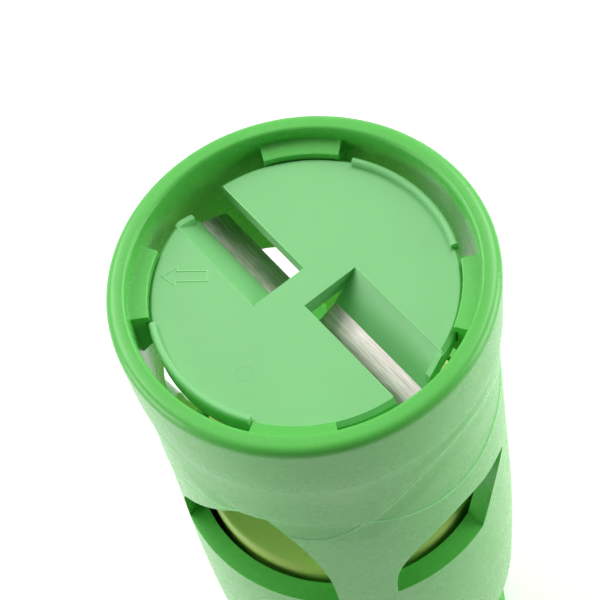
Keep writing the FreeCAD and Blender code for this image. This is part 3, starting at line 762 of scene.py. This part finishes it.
def build_marks(sizes):
    """Outline of an arrow that points out along -X, and the ring that an ejector left. All in millimetres."""
    tip, neck, tail = -26.0, -23.4, -17.8
    head, shaft = 1.95, 1.08
    middle = 2.35
    ring_x, ring_y, ring_radius = -9.2, -17.4, 1.5
    outline = [(tip, 0), (neck, head), (neck, shaft), (tail, shaft), (tail, -shaft), (neck, -shaft), (neck, -head)]
    # The arrow's line is painted pale, a highlight along its raised edge
    sunk_line("turning_arrow", [(x, y + middle) for x, y in outline], sizes,
              "polypropylene, painted edge highlight, pale green")
    circle = []
    for angle in np.linspace(0, 2 * math.pi, 32, endpoint=False):
        circle.append((ring_x + ring_radius * math.cos(angle), ring_y + ring_radius * math.sin(angle)))
    ring = sunk_line("ejector_mark", circle, sizes, "moulded polypropylene, plate green")
    ring.location.z -= 0.07 * millimetre


# ---------------------------------------------------------------- operators

class CUTTER_OT_housing(bpy.types.Operator):
    """Make the waved tube with its windows and its snap hooks"""
    bl_idname = "cutter.housing"
    bl_label = "Housing"

    def execute(self, context):
        build_housing(context.scene.cutter_sizes)
        build_wave_lines(context.scene.cutter_sizes)
        build_hooks()
        return {"FINISHED"}


class CUTTER_OT_plate(bpy.types.Operator):
    """Make the blade plate with its beads, edges, webs and marks"""
    bl_idname = "cutter.plate"
    bl_label = "Blade Plate"

    def execute(self, context):
        build_plate()
        build_beads()
        build_throat_edges(context.scene.cutter_sizes)
        build_webs()
        build_marks(context.scene.cutter_sizes)
        return {"FINISHED"}


class CUTTER_OT_blades(bpy.types.Operator):
    """Finish the blades, rivets and pins"""
    bl_idname = "cutter.blades"
    bl_label = "Blades and Pins"

    def execute(self, context):
        dress("ground stainless strip", "blade_a", "blade_b")
        dress("drawn stainless wire", "rivets_a", "rivets_b", "food_pins", "centre_pin", "base_screws", "arm_pin",
              "knob_axle")
        return {"FINISHED"}


class CUTTER_OT_pusher(bpy.types.Operator):
    """Finish the pusher, guide ring and soft rings"""
    bl_idname = "cutter.pusher"
    bl_label = "Pusher"

    def execute(self, context):
        dress("moulded polypropylene, lime", "guide_ring", "pusher_tube", "pusher_face")
        dress("moulded soft rubber", "friction_ring", "foot_ring")
        return {"FINISHED"}


class CUTTER_OT_crank(bpy.types.Operator):
    """Finish the crank end, arm and knob"""
    bl_idname = "cutter.crank"
    bl_label = "Crank"

    def execute(self, context):
        dress("moulded polypropylene, green", "crank_base", "crank_arm", "knob_cap")
        dress("moulded polypropylene, lime", "crank_knob")
        return {"FINISHED"}


def camera_axes(stage):
    """Camera's right, up and back directions."""
    back = Vector((math.cos(stage.azimuth) * math.cos(stage.elevation),
                   math.sin(stage.azimuth) * math.cos(stage.elevation), math.sin(stage.elevation)))
    level_right = Vector((-math.sin(stage.azimuth), math.cos(stage.azimuth), 0))
    level_up = back.cross(level_right)
    c, s = math.cos(stage.roll), math.sin(stage.roll)
    return level_right * c + level_up * s, level_up * c - level_right * s, back, level_right, level_up


def area_lamp(name, place, target, size, power, colour):
    """Square soft box aimed at a point."""
    lamp = bpy.data.lights.new(name, "AREA")
    lamp.shape = "SQUARE"
    lamp.size = size
    lamp.energy = power
    lamp.color = colour
    holder = bpy.data.objects.new(name, lamp)
    bpy.context.collection.objects.link(holder)
    holder.location = place
    holder.rotation_euler = (Vector(target) - Vector(place)).to_track_quat("-Z", "Y").to_euler()


def studio_world(stage):
    """White room: white to the camera, softer on the object, and darker on the side that the camera is on."""
    world = bpy.data.worlds.new("studio")
    bpy.context.scene.world = world
    world.use_nodes = True
    tree = world.node_tree
    tree.nodes.clear()
    path = add_node(tree, "ShaderNodeLightPath")
    direction = add_node(tree, "ShaderNodeTexCoord").outputs["Generated"]
    front = (math.cos(stage.azimuth), math.sin(stage.azimuth), 0.25)
    facing = add_node(tree, "ShaderNodeVectorMath", {"operation": "DOT_PRODUCT"}, {0: direction, 1: front})
    shade = add_node(tree, "ShaderNodeMapRange", {"interpolation_type": "SMOOTHSTEP"}, {
        "Value": facing.outputs["Value"], "From Min": 0.1, "From Max": 0.85, "To Min": 1.0, "To Max": 0.12})
    level = add_node(tree, "ShaderNodeMath", {"operation": "MULTIPLY"}, {
        0: shade.outputs["Result"], 1: stage.sky_level})
    soft = add_node(tree, "ShaderNodeBackground", inputs={"Color": (1, 1, 1, 1), "Strength": level.outputs[0]})
    glossy = add_node(tree, "ShaderNodeBackground", inputs={
        "Color": (1, 1, 1, 1), "Strength": shade.outputs["Result"]})
    white = add_node(tree, "ShaderNodeBackground", inputs={"Color": (1, 1, 1, 1), "Strength": 1.0})
    shiny = add_node(tree, "ShaderNodeMixShader", inputs={0: path.outputs["Is Glossy Ray"], 1: soft.outputs[0]})
    tree.links.new(glossy.outputs[0], shiny.inputs[2])
    seen = add_node(tree, "ShaderNodeMath", {"operation": "MAXIMUM"}, {
        0: path.outputs["Is Camera Ray"], 1: path.outputs["Is Transmission Ray"]})
    final = add_node(tree, "ShaderNodeMixShader", inputs={0: seen.outputs[0], 1: shiny.outputs[0]})
    tree.links.new(white.outputs[0], final.inputs[2])
    add_node(tree, "ShaderNodeOutputWorld", inputs={"Surface": final.outputs[0]})


def floor_material():
    """Matt white paper: white to the eye, with the object's shadow kept."""
    material = empty_material("matt white paper")
    tree = material.node_tree
    place = add_node(tree, "ShaderNodeTexCoord").outputs["Object"]
    fibres = add_node(tree, "ShaderNodeTexNoise", inputs={
        "Vector": place, "Scale": 1 / (2 * millimetre), "Detail": 3.0})
    tone = add_node(tree, "ShaderNodeMapRange", inputs={
        "Value": fibres.outputs["Fac"], "To Min": 0.92, "To Max": 0.96})
    paper = add_node(tree, "ShaderNodeBsdfDiffuse", inputs={"Color": tone.outputs["Result"]})
    # Lifts the paper to white for the eye and in reflections, and lights nothing
    glow_level = 0.33
    glow = add_node(tree, "ShaderNodeEmission", inputs={"Color": (1, 1, 1, 1), "Strength": glow_level})
    path = add_node(tree, "ShaderNodeLightPath")
    lit = add_node(tree, "ShaderNodeAddShader", inputs={0: paper.outputs[0], 1: glow.outputs[0]})
    seen = add_node(tree, "ShaderNodeMath", {"operation": "MAXIMUM"}, {
        0: path.outputs["Is Camera Ray"], 1: path.outputs["Is Glossy Ray"]})
    mix = add_node(tree, "ShaderNodeMixShader", inputs={
        0: seen.outputs[0], 1: paper.outputs[0], 2: lit.outputs[0]})
    add_node(tree, "ShaderNodeOutputMaterial", inputs={"Surface": mix.outputs[0]})
    return material


class CUTTER_OT_stage(bpy.types.Operator):
    """Set the floor, lamps, room and camera"""
    bl_idname = "cutter.stage"
    bl_label = "Stage"

    def execute(self, context):
        stage = context.scene.cutter_stage
        mesh = bpy.data.meshes.new("floor")
        half = 4.0
        mesh.from_pydata([(-half, -half, 0), (half, -half, 0), (half, half, 0), (-half, half, 0)], [], [(0, 1, 2, 3)])
        floor = bpy.data.objects.new("floor", mesh)
        context.collection.objects.link(floor)
        mesh.materials.append(floor_material())
        studio_world(stage)
        centre = Vector((0, 0, rim_height))
        rear_size, side_size = 0.5, 0.4
        rear_power = 0.5 * stage.key_power
        warm = (1.0, 0.99, 0.98)
        area_lamp("rear left box", (-0.52, 0.3, 0.78), centre, rear_size, rear_power, warm)
        area_lamp("rear right box", (0.35, 0.5, 0.8), centre, rear_size, rear_power, warm)
        area_lamp("left box", (-0.62, -0.2, 0.3), centre, side_size, stage.left_power, (0.98, 0.99, 1.0))
        area_lamp("right box", (0.62, 0.12, 0.3), centre, side_size, stage.right_power, (1.0, 1.0, 0.99))
        right, up, back, level_right, level_up = camera_axes(stage)
        camera = bpy.data.cameras.new("camera")
        camera.lens = stage.lens
        camera.sensor_width = 36.0
        camera.clip_start = 0.01
        camera.clip_end = 20.0
        holder = bpy.data.objects.new("camera", camera)
        context.collection.objects.link(holder)
        place = centre + back * stage.distance - level_right * stage.offset[0] - level_up * stage.offset[1]
        turn = Matrix((right, up, back)).transposed().to_4x4()
        holder.matrix_world = Matrix.Translation(place) @ turn
        context.scene.camera = holder
        context.scene.view_settings.view_transform = "Standard"
        return {"FINISHED"}


class CUTTER_PT_panel(bpy.types.Panel):
    """Buttons and settings of the cutter"""
    bl_idname = "CUTTER_PT_panel"
    bl_label = "Spiral Cutter"
    bl_space_type = "VIEW_3D"
    bl_region_type = "UI"
    bl_category = "Spiral Cutter"

    def draw(self, context):
        for settings in (context.scene.cutter_sizes, context.scene.cutter_colours, context.scene.cutter_stage):
            box = self.layout.box()
            for name in settings.bl_rna.properties.keys():
                if name not in ("rna_type", "name"):
                    box.prop(settings, name)
        for operator in operators:
            self.layout.operator(operator.bl_idname)


groups = (CutterSizes, CutterColours, StageSettings)
operators = (CUTTER_OT_stage, CUTTER_OT_housing, CUTTER_OT_plate, CUTTER_OT_blades, CUTTER_OT_pusher,
             CUTTER_OT_crank)
classes = groups + operators + (CUTTER_PT_panel,)


def register():
    for kind in classes:
        bpy.utils.register_class(kind)
    bpy.types.Scene.cutter_sizes = PointerProperty(type=CutterSizes)
    bpy.types.Scene.cutter_colours = PointerProperty(type=CutterColours)
    bpy.types.Scene.cutter_stage = PointerProperty(type=StageSettings)


def unregister():
    del bpy.types.Scene.cutter_stage
    del bpy.types.Scene.cutter_colours
    del bpy.types.Scene.cutter_sizes
    for kind in reversed(classes):
        bpy.utils.unregister_class(kind)


def main():
    """Builds the finished tool."""
    register()
    for operator in operators:
        family, name = operator.bl_idname.split(".")
        getattr(getattr(bpy.ops, family), name)()


if __name__ == "__main__":
    main()
